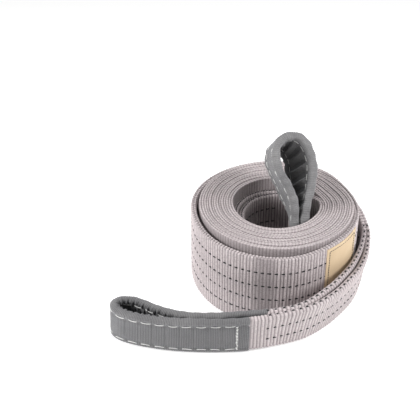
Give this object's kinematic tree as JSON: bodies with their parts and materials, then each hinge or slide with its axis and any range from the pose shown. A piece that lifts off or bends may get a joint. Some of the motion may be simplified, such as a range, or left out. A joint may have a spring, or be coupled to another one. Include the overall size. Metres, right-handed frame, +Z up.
{
  "type": "web sling",
  "caption": "Flat woven eye-and-eye lifting sling with sleeved eyes, rolled up on its edge, one eye up out of the bore and one lying out in front",
  "frame": {"origin": "Centre of the bounding box in plan, on the floor under the roll", "axes": "+Z up along the roll's axis, -Y to the front, where the folded end sweeps past, -X towards the tip of the outer eye"},
  "size_m": [0.3782, 0.3258, 0.2352],
  "materials": {
    "webbing": "matte woven polyester",
    "sleeve": "matte ribbed fabric",
    "label": "satin coated fabric"
  },
  "bodies": {
    "root": {"webbing_roll": "webbing", "webbing_outer_run": "webbing", "webbing_inner_run": "webbing", "outer_eye_sleeve": "sleeve", "inner_eye_sleeve": "sleeve", "label": "label"}
  },
  "joints": []
}
